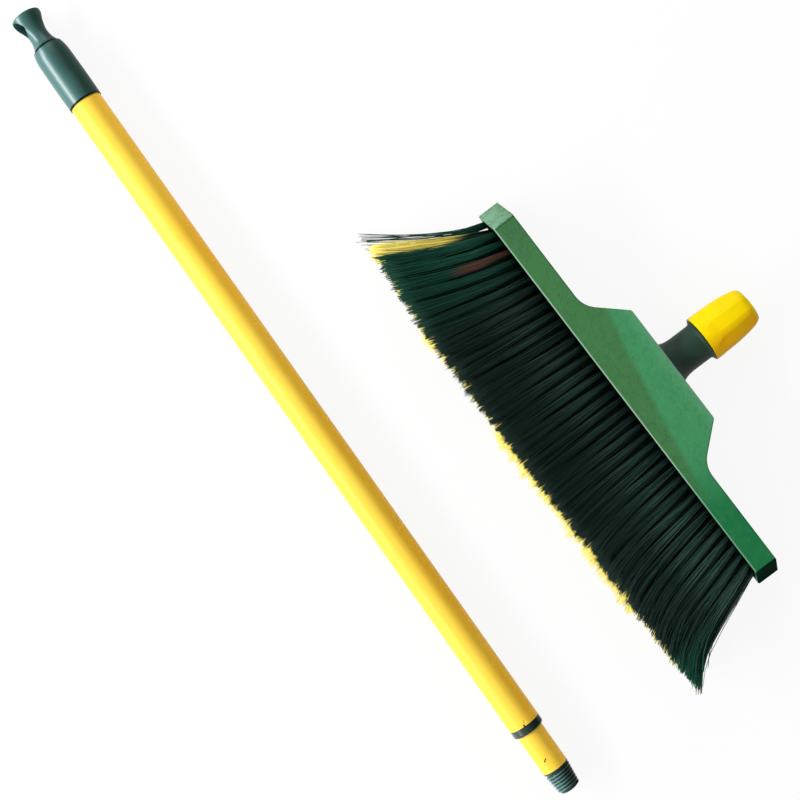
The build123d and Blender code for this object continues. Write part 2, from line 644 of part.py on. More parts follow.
cone_end = expander_end - EXPANDER_END_WALL
expander_radius = outer_bore - FREE
cone_wide = expander_radius - EXPANDER_RIM_WALL
cone_slope = (cone_wide - EXPANDER_THROAT_RADIUS) / (cone_end - expander_start)


def expander_slits(width, start, end):
    """Bars that stand out round the stud's axis, one for each slit of the expander."""
    bar = Box(end - start, expander_radius * 2, width, align=(Align.MIN, Align.MIN, Align.CENTER))
    return [Rot(i * 360 / EXPANDER_SLITS, 0, 0) * Pos(start, 0, 0) * bar for i in range(EXPANDER_SLITS)]


def make_expander_sleeve():
    """The split sleeve that grips the outer tube when the wedge is drawn into its cone."""
    guide = STUD_RADIUS + RUNNING
    outline = Polyline(
        (expander_start, cone_wide), (expander_start, expander_radius), (expander_end, expander_radius),
        (expander_end, guide), (cone_end, guide), (cone_end, EXPANDER_THROAT_RADIUS), close=True,
    )
    slits = expander_slits(EXPANDER_SLIT_WIDTH, expander_start - CUT_PAST, cone_end)
    return handle_place * (lathe(outline) - slits)


def make_wedge_nut():
    """The cone nut on the stud, with a key in each slit of the expander."""
    start = expander_start + FREE
    end = start + WEDGE_LENGTH
    wide = cone_wide - cone_slope * (FREE + WEDGE_TRAVEL) - FREE
    small = wide - cone_slope * WEDGE_LENGTH
    cone = lathe(Polyline((start, 0), (start, wide), (end, small), (end, 0), close=True))
    key_width = EXPANDER_SLIT_WIDTH - 2 * FREE
    bars = Part(children=expander_slits(key_width, start, end))
    keys = pipe(start, end, expander_radius - FREE, small - 2 * SNUG) & bars
    bore = rod(start - CUT_PAST, end + CUT_PAST, STUD_RADIUS + RUNNING)
    return handle_place * (cone + keys - bore)


def make_stop_washer():
    return handle_place * pipe(washer_start, stud_start, WASHER_RADIUS, STOP_SCREW_RADIUS + SNUG)


def make_stop_screw():
    head_start = washer_start - STOP_HEAD_HEIGHT
    head = rod(head_start, washer_start, STOP_HEAD_RADIUS)
    shank = rod(washer_start, stud_start + STOP_SCREW_LENGTH, STOP_SCREW_RADIUS)
    return handle_place * (head + shank - cross_slot(head_start, STOP_SLOT_SPAN))


nodes = {
    "head_cover": make_head_cover(),
    "tuft_block": make_tuft_block(),
    "tuft_staples": make_tuft_staples(),
    "block_screws": [place * countersunk_screw() for place in block_screw_places],
    "neck_socket": make_neck_socket(),
    "neck_screws": [place * countersunk_screw() for place in neck_screw_places],
    "clamp_ring": make_clamp_ring(),
    "lock_nut": make_lock_nut(),
    "outer_tube": make_outer_tube(),
    "grip_sleeve": make_grip_sleeve(),
    "hang_cap": make_hang_cap(),
    "collar_bush": make_collar_bush(),
    "inner_tube": make_inner_tube(),
    "thread_plug": make_thread_plug(),
    "lock_core": make_lock_core(),
    "expander_sleeve": make_expander_sleeve(),
    "wedge_nut": make_wedge_nut(),
    "stop_washer": make_stop_washer(),
    "stop_screw": make_stop_screw(),
}
for row in range(ROW_COUNT):
    nodes[f"bristle_row_{row + 1}"] = make_bristle_row(row)

os.makedirs("parts", exist_ok=True)
for name, solids in nodes.items():
    piece = Compound(children=solids) if isinstance(solids, list) else solids
    export_step(piece, f"parts/{name}.step")
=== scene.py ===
import json
from math import atan2, cos, pi, radians, sin, sqrt
from random import Random

import bmesh
import bpy
import numpy as np
from bpy.props import FloatProperty, FloatVectorProperty, IntProperty, PointerProperty
from mathutils import Matrix, Vector


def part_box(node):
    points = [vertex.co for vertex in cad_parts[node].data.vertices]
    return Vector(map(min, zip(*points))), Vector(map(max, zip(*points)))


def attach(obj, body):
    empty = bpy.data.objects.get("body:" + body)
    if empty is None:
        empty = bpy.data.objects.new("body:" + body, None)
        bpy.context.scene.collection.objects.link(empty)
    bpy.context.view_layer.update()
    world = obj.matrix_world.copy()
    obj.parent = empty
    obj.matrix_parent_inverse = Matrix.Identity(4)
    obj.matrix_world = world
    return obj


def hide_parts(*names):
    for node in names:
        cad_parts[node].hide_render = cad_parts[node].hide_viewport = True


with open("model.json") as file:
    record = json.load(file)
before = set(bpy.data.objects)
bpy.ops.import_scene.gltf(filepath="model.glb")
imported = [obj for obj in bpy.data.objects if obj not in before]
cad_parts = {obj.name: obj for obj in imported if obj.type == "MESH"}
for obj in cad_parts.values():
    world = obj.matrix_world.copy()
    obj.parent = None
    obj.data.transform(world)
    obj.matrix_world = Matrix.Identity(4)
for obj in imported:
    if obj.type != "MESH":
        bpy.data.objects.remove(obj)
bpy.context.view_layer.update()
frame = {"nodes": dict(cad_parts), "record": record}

bl_info = {
    "name": "Broom",
    "version": (1, 0, 0),
    "blender": (4, 5, 0),
    "location": "3D View > Sidebar > Broom",
    "description": "Finishes and bristles of a floor broom with a telescopic handle",
    "category": "Object",
}


def corner(node, side):
    """A corner of a solid's box, to the micron: the lowest one for side 0, the highest for side 1."""
    return [round(value, 6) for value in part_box(node)[side]]


# The block, from the frame, and how much further its back reaches than its front at each end
BACK_HALF_LENGTH, _, BLOCK_DEPTH = corner("head_cover", 1)
_, TUFT_FACE, COVER_WALL = corner("tuft_block", 0)
END_REACH = 0.017
END_SLANT = END_REACH / BLOCK_DEPTH
FRONT_HALF_LENGTH = BACK_HALF_LENGTH - END_REACH
BLOCK_MIDDLE = BLOCK_DEPTH / 2

# The handle: its lengths, and the thread at its tip, whose core draws in by the drop
HANDLE_LENGTH = 0.7033
CAP_LENGTH = 0.0302
GRIP_LENGTH = 0.0502
THREAD_DROP = 0.002
tip = next(mount for mount in frame["record"]["mounts"] if mount["name"] == "handle_tip")
THREAD_RADIUS, THREAD_LENGTH = (tip["dims"][name] / 1000 for name in ("r_mm", "length_mm"))
THREAD_TAPER = THREAD_DROP / THREAD_LENGTH

# Places along the handle from its middle, and where its middle lies
GRIP_TOP = CAP_LENGTH - HANDLE_LENGTH / 2
GRIP_END = GRIP_TOP + GRIP_LENGTH
THREAD_START = HANDLE_LENGTH / 2 - THREAD_LENGTH
HANDLE_TURN = atan2(tip["axis"][1], tip["axis"][0])
HANDLE_MIDDLE = Vector(tip["pos_m"]) - THREAD_START * Vector(tip["axis"])


def length(name, default, description, **limits):
    """A size in metres that a user may change."""
    return FloatProperty(name=name, description=description, default=default, unit="LENGTH", precision=5, **limits)


def share(name, default, description):
    """A share from 0 to 1."""
    return FloatProperty(name=name, description=description, default=default, min=0.0, max=1.0, subtype="FACTOR")


def colour(name, default, description):
    """A colour of a finish."""
    return FloatVectorProperty(
        name=name, description=description, default=default, size=3, min=0.0, max=1.0, subtype="COLOR"
    )


class BlockLook(bpy.types.PropertyGroup):
    """The moulded block."""

    # Painted sheen: the olive on the left, the sea green up the hump and the green on the right stand in for the lamps'
    # reflection shifting over the block's face.
    green: colour("Green", (0.0054, 0.148, 0.044), "Moulded green of the block's cover")
    olive: colour("Olive", (0.046, 0.170, 0.055), "Where the green runs to olive, along the left of the rim")
    sea_green: colour("Sea green", (0.046, 0.263, 0.104), "Where the green runs to blue, up the hump")
    # Partly real and partly painted: the rubs and mottle are real, the paler hump top and the lower left end face are
    # painted highlight.
    pale: colour("Pale green", (0.18, 0.41, 0.25), "Where the green is rubbed or catches dust")
    # Real soiling in the creases and specks; also painted shade: a dark line on the left end's front edge, and the
    # right end face; it also darkens the face towards the left end.
    dirt_and_shade: colour("Dirt", (0.007, 0.032, 0.018), "In the creases, in specks and over the right end")
    # Painted highlight: the colour of the pale lines along the rim and the hump's ridge, weaker on the right.
    rubbed: colour("Rubbed", (0.41, 0.55, 0.45), "The rim and the hump's ridge, where they are rubbed")
    inside: colour("Tuft block", (0.006, 0.012, 0.010), "Block that holds the tufts")
    dust: colour("Dust", (0.030, 0.040, 0.034), "Dust on the tuft block")
    steel: colour("Steel", (0.56, 0.57, 0.56), "Zinc plate of the staples and screws")
    steel_dull: colour("Steel, dull", (0.42, 0.43, 0.41), "Where the zinc is clouded")
    # How strongly the painted highlight lines on the rim and the ridge show.
    edge_highlight: share("Wear", 0.5, "How much the rim and the edges are rubbed")


class BristleLook(bpy.types.PropertyGroup):
    """The rows of bristles."""

    filaments: IntProperty(name="Filaments", description="Filaments in one tuft", default=85, min=8, max=120)
    tufts: IntProperty(name="Tufts", description="Tufts in one row", default=39, min=5, max=60)
    clumps: IntProperty(name="Clumps", description="Clumps that a tuft's tips gather in", default=9, min=1, max=30)
    radius: length("Radius", 0.00025, "Radius of a filament at its root")
    tuft_radius: length("Tuft radius", 0.0019, "Radius of a tuft at its root")
    dark_length: length("Dark length", 0.0855, "From the tuft block to the dark tips")
    yellow_length: length("Yellow length", 0.0825, "From the tuft block to the yellow tips, where they are drawn back")
    patches: length("Patches", 0.0080, "How much further the yellow tips run out in patches")
    ragged: length("Ragged", 0.0015, "How early or late a clump ends")
    left_fan: length("Left fan", 0.037, "How far the tips of the left end tufts lean out")
    right_fan: length("Right fan", 0.0445, "How far the tips of the right end tufts lean out")
    dark: colour("Dark", (0.0030, 0.0125, 0.0088), "Dark green filament")
    dark_pale: colour("Dark, pale", (0.0360, 0.0860, 0.0680), "Palest of the dark filaments")
    # Painted light: the clearer green at the rows' ends stands in for light through their thinner tufts.
    lit_through_green: colour("Thin green", (0.0050, 0.0850, 0.0480), "Dark filament where it thins out at the ends")
    # Painted shade: the maroon tuft stands in for yellow filaments seen deep in shadow between the front tufts.
    maroon: colour("Maroon", (0.110, 0.040, 0.032), "The odd tuft near the left end")
    yellow: colour("Yellow", (0.88, 0.70, 0.085), "Yellow filament")
    yellow_pale: colour("Yellow, pale", (0.93, 0.84, 0.26), "Palest of the yellow filaments")
    # Painted shade: the yellow behind the dark rows is darkened to this, as if in shadow.
    soiled: colour("Soiled", (0.0060, 0.0260, 0.0160), "Yellow filament where it is soiled")


class SocketLook(bpy.types.PropertyGroup):
    """The neck, its nut and what is inside it."""

    nut: colour("Nut", (0.88, 0.65, 0.001), "Yellow of the lock nut")
    # Painted shade: the nut is deeper yellow round its right side, away from the key lamp.
    nut_shade: colour("Nut, deep", (0.88, 0.43, 0.002), "Deeper yellow round the nut's right side")
    nut_rub: colour("Nut, rubbed", (0.95, 0.78, 0.05), "Hairline rubs along the nut")
    neck: colour("Neck", (0.0143, 0.0393, 0.0259), "Charcoal green of the neck")
    neck_mark: colour("Neck, marked", (0.029, 0.061, 0.043), "Handling marks on the neck")
    nylon: colour("Nylon", (0.72, 0.70, 0.62), "Unpigmented nylon of the ring and the twist lock")
    nylon_deep: colour("Nylon, deep", (0.60, 0.57, 0.47), "Where the nylon is thick")


class HandleLook(bpy.types.PropertyGroup):
    """The handle's tubes and end pieces."""

    tube: colour("Tube", (0.93, 0.665, 0.065), "Yellow coat of the tubes")
    # Partly real and partly painted: deeper where the coat runs thick at random, and painted shade over the far side
    # from the key lamp.
    tube_shade: colour("Tube, deep", (0.96, 0.485, 0.006), "Where the coat is thick or soiled, most on the far side")
    soil: colour("Soil", (0.52, 0.29, 0.03), "Soiling on the tubes")
    scuff: colour("Scuff", (0.93, 0.76, 0.20), "Scuffs on the tubes")
    grip: colour("Grip", (0.030, 0.124, 0.116), "Grey green of the grip and its cap")
    # Painted shade: the far side of the grip and its cap, away from the key lamp.
    grip_shade: colour("Grip, deep", (0.0138, 0.048, 0.038), "The far side of the grip and its cap")
    plug: colour("Plug", (0.0040, 0.0260, 0.0190), "Dark green of the collar and the threaded plug")
    # Painted highlight: pale lines on the thread's crests, on the lit side.
    plug_crest_highlight: colour("Plug, worn", (0.16, 0.36, 0.34), "Rubbed crests of the plug's thread")
    # Painted shade: the far side of the collar and the plug, away from the key lamp.
    plug_shade: colour("Plug, deep", (0.0024, 0.0120, 0.0085), "The far side of the collar and the plug")
    # Painted shadow: dark lines in the groove under the cap and at the sleeve's end on the tube.
    seam: colour("Seam", (0.0015, 0.0035, 0.0030), "Dark lines at the two ends of the grip")


class StageLook(bpy.types.PropertyGroup):
    """Light and camera."""

    key: FloatProperty(name="Key", description="Power of the key light", default=68.0, min=0.0, unit="POWER")
    fill: FloatProperty(name="Fill", description="Power of the light from the left", default=6.7, min=0.0, unit="POWER")
    sky: share("Sky", 0.47, "Strength of the light from all round")
    paper: colour("Floor", (0.86, 0.86, 0.86), "White of the floor")
    paper_pale: colour("Floor, pale", (0.89, 0.89, 0.89), "Flecks in the floor")
    eye: FloatVectorProperty(
        name="Eye", description="Where the camera stands", default=(-0.0816, -0.1034, 1.1508), size=3, unit="LENGTH"
    )
    turn: FloatVectorProperty(
        name="Turn", description="Turn of the camera from looking straight down",
        default=(radians(-0.718), radians(2.339), radians(52.694)), size=3, subtype="EULER",
    )
    lens: FloatProperty(name="Lens", description="Focal length", default=69.158, min=1.0, unit="CAMERA")


class Shade:
    """A socket of a finish. Sums on it add Math nodes."""

    def __init__(self, finish, socket):
        self.finish = finish
        self.socket = socket

    def __add__(self, other):
        return self.finish.math("ADD", self, other)

    def __radd__(self, other):
        return self.finish.math("ADD", other, self)

    def __sub__(self, other):
        return self.finish.math("SUBTRACT", self, other)

    def __rsub__(self, other):
        return self.finish.math("SUBTRACT", other, self)

    def __mul__(self, other):
        return self.finish.math("MULTIPLY", self, other)

    def __rmul__(self, other):
        return self.finish.math("MULTIPLY", other, self)

    def __neg__(self):
        return self.finish.math("SUBTRACT", 0.0, self)

    def __abs__(self):
        return self.finish.math("ABSOLUTE", self)


class Finish:
    """A material and the nodes that make it."""

    def __init__(self, name):
        self.material = bpy.data.materials.new(name)
        self.material.use_nodes = True
        self.tree = self.material.node_tree
        self.tree.nodes.clear()
        self.place = self.add("ShaderNodeTexCoord", out="Object")

    def add(self, kind, settings=None, sockets=None, out=0):
        """Add a node: its settings first, then the values or links of its sockets."""
        node = self.tree.nodes.new(kind)
        for name, value in (settings or {}).items():
            setattr(node, name, value)
        for name, value in (sockets or {}).items():
            if isinstance(value, Shade):
                self.tree.links.new(value.socket, node.inputs[name])
            else:
                node.inputs[name].default_value = value
        return Shade(self, node.outputs[out]) if node.outputs else None

    def math(self, operation, first, second=0.0):
        """A sum of two values."""
        return self.add("ShaderNodeMath", {"operation": operation}, {0: first, 1: second})

    def strand(self):
        """A strand's own tone, the place along it from 0 to 1, and whether its tuft is an odd one."""
        names = ("tone", "along", "odd")
        return [self.add("ShaderNodeAttribute", {"attribute_name": name}, out="Fac") for name in names]

    def axes(self, place=None):
        """A place on the piece along X, Y and Z, in metres."""
        split = self.add("ShaderNodeSeparateXYZ", sockets={0: place or self.place}).socket.node
        return [Shade(self, output) for output in split.outputs]

    def on_handle(self):
        """The place along the handle from its middle, across it and up from its axis, in metres."""
        sockets = {"Vector": self.place, "Location": HANDLE_MIDDLE, "Rotation": (0.0, 0.0, HANDLE_TURN)}
        return self.axes(self.add("ShaderNodeMapping", {"vector_type": "TEXTURE"}, sockets))

    def noise(self, scale, detail=2.0, stretch=(1.0, 1.0, 1.0), turn=(0.0, 0.0, 0.0), rough=0.5, swirl=0.0):
        """Noise of so many features to the metre, from 0 to 1."""
        place = self.add("ShaderNodeMapping", sockets={"Vector": self.place, "Rotation": turn, "Scale": stretch})
        sockets = {"Vector": place, "Scale": scale, "Detail": detail, "Roughness": rough, "Distortion": swirl}
        return self.add("ShaderNodeTexNoise", sockets=sockets)

    def step(self, value, low, high):
        """Rise smoothly from 0 at low to 1 at high."""
        return self.add(
            "ShaderNodeMapRange",
            {"interpolation_type": "SMOOTHSTEP"},
            {"Value": value, "From Min": low, "From Max": high},
        )

    def between(self, factor, low, high):
        """From low to high as the factor goes from 0 to 1."""
        return self.add("ShaderNodeMapRange", sockets={"Value": factor, "To Min": low, "To Max": high})

    def blend(self, factor, first, second):
        """Mix two colours."""
        sockets = {0: factor, 6: self.rgba(first), 7: self.rgba(second)}
        return self.add("ShaderNodeMix", {"data_type": "RGBA"}, sockets, out=2)

    @staticmethod
    def rgba(value):
        """A colour as a Mix node takes it."""
        return value if isinstance(value, Shade) else (*value, 1.0)

    def bump(self, height, depth, strength, under=None):
        """Bumps of a depth in metres, over other bumps where they are given."""
        sockets = {"Height": height, "Distance": depth, "Strength": strength}
        if under:
            sockets["Normal"] = under
        return self.add("ShaderNodeBump", sockets=sockets)

    def principled(self, **sockets):
        """A Principled shader with these sockets."""
        named = {name.replace("_", " ").title().replace("Ior", "IOR"): value for name, value in sockets.items()}
        return self.add("ShaderNodeBsdfPrincipled", sockets=named)

    def mixed(self, factor, first, second):
        """Mix two shaders."""
        return self.add("ShaderNodeMixShader", sockets={0: factor, 1: first, 2: second})

    def close(self, shader):
        """Put a shader on the surface."""
        self.add("ShaderNodeOutputMaterial", sockets={"Surface": shader})
        return self.material


def moulded_green(look):
    """Satin moulded green with painted sheen from olive on the left through sea green up the hump to green on the
    right; hairline creases on the left, fine grain and rubs; painted highlights on the rim, the hump's ridge and the
    left end face; the right end face painted dark as shade.
    """
    finish = Finish("moulded_green")
    x, y, z = finish.axes()
    cloud = finish.noise(14.0, 3.0)
    mottle = finish.noise(190.0, 4.0, rough=0.65)
    grain = finish.noise(2600.0, 2.0)
    rubs = finish.step(finish.noise(520.0, 3.0, stretch=(0.05, 1.0, 1.0), turn=(0.0, 0.0, 0.12)), 0.60, 0.78)
    specks = finish.step(finish.noise(620.0, 2.0), 0.66, 0.74)
    right = finish.step(x + (cloud - 0.5) * 0.04, 0.050, 0.112)
    line = abs(finish.noise(75.0, 5.0, rough=0.6, swirl=1.2) - 0.5)
    crease = finish.step(-line, -0.030, 0.0) * (1.0 - right)
    # Painted highlight line along the rim's lower edge.
    rim = finish.step(-y, 0.0188, 0.0197) * finish.step(z, 0.040, 0.0445)
    high = finish.step(y + x * 0.16 + (cloud - 0.5) * 0.012, -0.0045, 0.0015)
    top = finish.step(y + (cloud - 0.5) * 0.010, 0.012, 0.024)
    # Painted highlight line along the hump's top edge.
    ridge = finish.step(y, 0.0222, 0.0230) * finish.step(z, 0.0436, 0.0444)
    end_face = BACK_HALF_LENGTH - 0.0016, BACK_HALF_LENGTH - 0.0006
    end_edge = BACK_HALF_LENGTH - 0.0014
    out_left = z * END_SLANT - x
    left_end = finish.step(out_left, *end_face)
    # Painted shade: a dark line along the front edge of the left end face.
    left_edge_shade = finish.step(-abs(out_left - end_edge), -0.0007, -0.0003)
    # Painted shade: the right end face, turned from the key lamp, is made dark and matt.
    right_end_shade = finish.step(z * END_SLANT + x, *end_face)
    # Painted sheen: olive on the left, sea green up the hump where high rises, green where right rises.
    base = finish.blend(high * 0.85, look.olive, look.sea_green)
    base = finish.blend(right, base, look.green)
    # Painted highlight: the hump's top, and the left end face towards the rim, are paled as if lit.
    base = finish.blend(top * 0.22, base, look.pale)
    base = finish.blend(left_end * finish.step(-y, -0.006, 0.018) * 0.60, base, look.pale)
    base = finish.blend(finish.step(mottle, 0.46, 0.74) * 0.06, base, look.pale)
    base = finish.blend(rubs * (0.12 - right * 0.08), base, look.pale)
    base = finish.blend(ridge * look.edge_highlight * (1.0 - right), base, look.rubbed)
    # Darker towards the left end.
    dull_left = finish.step(-x, 0.100, 0.160) * (1.0 - left_end) * 0.14
    marks = crease * (left_end * 0.45 + 0.16) + specks * high * 0.30 + left_edge_shade * 0.50 + dull_left
    base = finish.blend(marks, base, look.dirt_and_shade)
    # Painted highlight along the rim, fainter on the right.
    base = finish.blend(rim * (look.edge_highlight - right * 0.22), base, look.rubbed)
    rough = finish.between(mottle, 0.38, 0.50) + rubs * 0.10
    waves = finish.bump(cloud + mottle * 0.20 - crease * 0.12, 0.0016, 0.35)
    skin = finish.bump(grain, 0.00012, 0.55, waves)
    shell = finish.principled(base_color=base, roughness=rough, normal=skin, specular_ior_level=0.20)
    # Painted shade: the dark matt surface over the right end face.
    shaded_end_colour = finish.blend(mottle, look.dirt_and_shade, look.inside)
    shaded_end_shader = finish.principled(base_color=shaded_end_colour, roughness=1.0, normal=skin, specular_ior_level=0.0)
    return finish.close(finish.mixed(right_end_shade, shell, shaded_end_shader))


def block_black(look):
    """Matt black green of the block that the tufts are bound in."""
    finish = Finish("block_black")
    grain = finish.noise(1500.0, 3.0)
    dust = finish.step(finish.noise(120.0, 4.0), 0.45, 0.80)
    base = finish.blend(dust * 0.35, look.inside, look.dust)
    rough = finish.between(grain, 0.55, 0.75)
    return finish.close(finish.principled(base_color=base, roughness=rough, normal=finish.bump(grain, 0.0001, 0.6)))


def dark_filament(look):
    """Dark green filament: each strand has its own tone; the ends of the rows are painted a clearer green, as light
    through their thinner tufts, and one tuft is painted maroon as shade.
    """
    finish = Finish("bristle_dark")
    tone, along, odd = finish.strand()
    x = finish.axes()[0]
    fleck = finish.noise(260.0, 2.0, stretch=(3.0, 0.6, 3.0))
    upper = finish.step(0.66 - along, 0.0, 0.34)
    paler = finish.step(x, 0.010, 0.130) * 1.05 + 0.52
    mixed = finish.step(tone * 0.60 + fleck * 0.40, 0.15, 0.85) * (upper * 0.75 + 0.25) * paler
    # Painted light: the left end, and the right end's tips, are coloured as if lit through.
    thin = finish.step(-x, 0.100, 0.160) * (0.95 - along * 0.40) + finish.step(x, 0.150, 0.192) * along
    base = finish.blend(mixed, look.dark, look.dark_pale)
    base = finish.blend(thin * (tone * 0.4 + 0.6), base, look.lit_through_green)
    # Painted shade: maroon in the upper part of the odd tuft, for yellow seen in shadow.
    painted_shadow_tuft = odd * finish.step(tone, 0.08, 0.30) * finish.step(0.62 - along, 0.0, 0.26)
    base = finish.blend(painted_shadow_tuft, base, look.maroon)
    duller = finish.between(along, 0.40, 0.66)
    return finish.close(finish.principled(base_color=base, roughness=duller, specular_ior_level=0.15))


def yellow_filament(look):
    """Yellow filament: painted dark as shade but where it is out past the dark tips, and in the clean tufts at the left
    end.
    """
    finish = Finish("bristle_yellow")
    tone, along, odd = finish.strand()
    x, y = finish.axes()[:2]
    fleck = finish.noise(260.0, 2.0, stretch=(3.0, 0.6, 3.0))
    mixed = finish.step(tone * 0.60 + fleck * 0.40, 0.15, 0.85)
    past = finish.step(finish.step(-x, 0.140, 0.205) * 0.0070 - y, 0.0990, 0.1015)
    fringe = finish.step(along, 0.86, 0.93) * past * finish.step(x, -0.176, -0.162)
    clean = finish.math("MAXIMUM", fringe, odd * finish.step(-x, 0.163, 0.172))
    base = finish.blend(mixed, look.yellow, look.yellow_pale)
    base = finish.blend(finish.step(along, 0.72, 1.0) * 0.35, base, look.yellow_pale)
    # Painted shade: the yellow is darkened except at the tips out past the dark rows and in the left end's clean tufts.
    base = finish.blend(clean, look.soiled, base)
    duller = finish.between(along, 0.42, 0.62)
    return finish.close(finish.principled(base_color=base, roughness=duller, specular_ior_level=0.25))


def charcoal(look):
    """Matt charcoal green with a fine grain and pale handling marks."""
    finish = Finish("neck_charcoal")
    grain = finish.noise(2200.0, 3.0)
    smear = finish.step(finish.noise(85.0, 4.0, stretch=(1.0, 0.6, 1.0)), 0.42, 0.74)
    base = finish.blend(smear * 0.40, look.neck, look.neck_mark)
    rough = finish.between(grain, 0.46, 0.62)
    skin = finish.bump(grain, 0.00014, 0.7)
    return finish.close(finish.principled(base_color=base, roughness=rough, normal=skin, specular_ior_level=0.20))


def nut_yellow(look):
    """Glossy moulded yellow, painted deeper round to the right as shade, with soft sinks and hairline rubs along the
    nut.
    """
    finish = Finish("nut_yellow")
    x = finish.axes()[0]
    cloud = finish.noise(70.0, 3.0)
    sinks = finish.noise(130.0, 2.0, stretch=(1.0, 0.45, 1.0))
    grain = finish.noise(1900.0, 2.0)
    rubs = finish.step(finish.noise(640.0, 2.0, stretch=(1.0, 0.08, 1.0)), 0.66, 0.80)
    # Painted shade round the nut's right side.
    shaded_right = finish.step(x + (cloud - 0.5) * 0.008, -0.003, 0.013)
    base = finish.blend(shaded_right * 0.85 + finish.step(cloud, 0.45, 0.75) * 0.15, look.nut, look.nut_shade)
    base = finish.blend(rubs * 0.15, base, look.nut_rub)
    rough = finish.between(sinks, 0.30, 0.46) + rubs * 0.12
    soft = finish.bump(sinks, 0.0009, 0.45)
    skin = finish.bump(grain, 0.00006, 0.5, soft)
    return finish.close(finish.principled(base_color=base, roughness=rough, normal=skin, specular_ior_level=0.05))


def tube_yellow(look):
    """Glossy yellow coat: orange peel, faint runs along the tube, scuffs and soiling, and the far side from the key
    lamp painted deeper as shade.
    """
    finish = Finish("tube_yellow")
    across = finish.on_handle()[1]
    cloud = finish.noise(22.0, 3.0, stretch=(0.35, 1.0, 1.0))
    runs = finish.noise(320.0, 2.0, stretch=(0.02, 1.0, 1.0))
    peel = finish.noise(900.0, 1.0)
    scuffs = finish.step(finish.noise(420.0, 4.0, stretch=(0.25, 1.0, 1.0), turn=(0.0, 0.0, 0.3)), 0.66, 0.80)
    soil = finish.step(finish.noise(46.0, 5.0, rough=0.62), 0.52, 0.78)
    # Painted shade: the far side of the tube, away from the key lamp, is painted deeper.
    far = finish.step(across + (cloud - 0.5) * 0.006, 0.0, 0.011)
    deep = finish.step(cloud * 0.6 + runs * 0.4, 0.40, 0.66) * 0.28 + far * 0.72
    base = finish.blend(deep, look.tube, look.tube_shade)
    base = finish.blend(soil * 0.12, base, look.soil)
    base = finish.blend(scuffs * 0.16, base, look.scuff)
    rough = finish.between(runs, 0.40, 0.50) + scuffs * 0.16
    skin = finish.bump(peel, 0.00009, 0.45)
    return finish.close(finish.principled(base_color=base, roughness=rough, normal=skin, specular_ior_level=0.28))


def satin_green(name, near, deep, crest_highlight, line, rough, gloss):
    """Satin moulded green: fine grain, rubbed streaks, painted highlights on the thread crests of the lit side, the far
    side painted darker as shade, and painted shadow lines where the grip ends.
    """
    finish = Finish(name)
    along, across, up = finish.on_handle()
    cloud = finish.noise(60.0, 3.0)
    grain = finish.noise(2400.0, 2.0)
    streaks = finish.step(finish.noise(380.0, 3.0, stretch=(0.30, 1.0, 1.0)), 0.58, 0.80)
    # Painted shade: the far side, away from the key lamp, is painted darker; the coat's sheen stays on the lit side.
    far = finish.step(across + (cloud - 0.5) * 0.004, -0.005, 0.008)
    # Painted shadow lines: in the groove under the cap, and at the sleeve's end.
    seam = finish.step(-abs(along - GRIP_TOP + 0.0006), -0.0013, -0.0009)
    lip_shadow = finish.step(along, GRIP_END - 0.0018, GRIP_END - 0.0013) * finish.step(-along, 0.25, 0.26)
    out = finish.math("SQRT", across * across + up * up) + (along - THREAD_START) * THREAD_TAPER
    # Painted highlight on the thread's crests, mostly on the lit side.
    crest = finish.step(out, THREAD_RADIUS - 0.0007, THREAD_RADIUS - 0.0002)
    crest = crest * finish.step(along, THREAD_START, THREAD_START + 0.001)
    base = finish.blend(far, near, deep)
    base = finish.blend(streaks * 0.12, base, near)
    base = finish.blend(crest * (1.0 - far * 0.85) * 0.75, base, crest_highlight)
    base = finish.blend(seam + lip_shadow, base, line)
    dull = finish.between(cloud, rough - 0.05, rough + 0.07) + streaks * 0.08
    skin = finish.bump(grain, 0.00010, 0.6)
    sheen = (1.0 - far) * (1.0 - seam - lip_shadow) * gloss
    shader = finish.principled(
        base_color=base, roughness=dull, normal=skin, specular_ior_level=0.12,
        coat_weight=sheen, coat_roughness=rough, coat_ior=1.8, coat_tint=(0.80, 1.0, 1.0, 1.0),
    )
    return finish.close(shader)


def natural_nylon(look):
    """Unpigmented nylon, slightly uneven."""
    finish = Finish("natural_nylon")
    cloud = finish.noise(90.0, 3.0)
    grain = finish.noise(1600.0, 2.0)
    base = finish.blend(finish.step(cloud, 0.3, 0.7), look.nylon, look.nylon_deep)
    rough = finish.between(cloud, 0.35, 0.50)
    return finish.close(finish.principled(base_color=base, roughness=rough, normal=finish.bump(grain, 0.00008, 0.5)))


def bright_steel(look):
    """Zinc plate, brushed and a little clouded."""
    finish = Finish("bright_steel")
    brush = finish.noise(2400.0, 2.0, stretch=(0.08, 1.0, 1.0))
    cloud = finish.noise(240.0, 3.0)
    base = finish.blend(finish.step(cloud, 0.35, 0.70), look.steel, look.steel_dull)
    rough = finish.between(brush, 0.26, 0.44)
    skin = finish.bump(brush, 0.00004, 0.5)
    return finish.close(finish.principled(base_color=base, roughness=rough, metallic=1.0, normal=skin))


def dress(material, *nodes):
    """Give a finish to solids that keep their shape."""
    for node in nodes:
        for slot in frame["nodes"][node].material_slots:
            slot.material = material


def finished_object(name, mesh, body, slot, *nodes):
    """Put a mesh in the scene as a piece that rides on a body and stands for some solids."""
    piece = bpy.data.objects.new(name, mesh)
    bpy.context.scene.collection.objects.link(piece)
    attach(piece, body)
    if nodes:
        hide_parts(*nodes)
    return piece


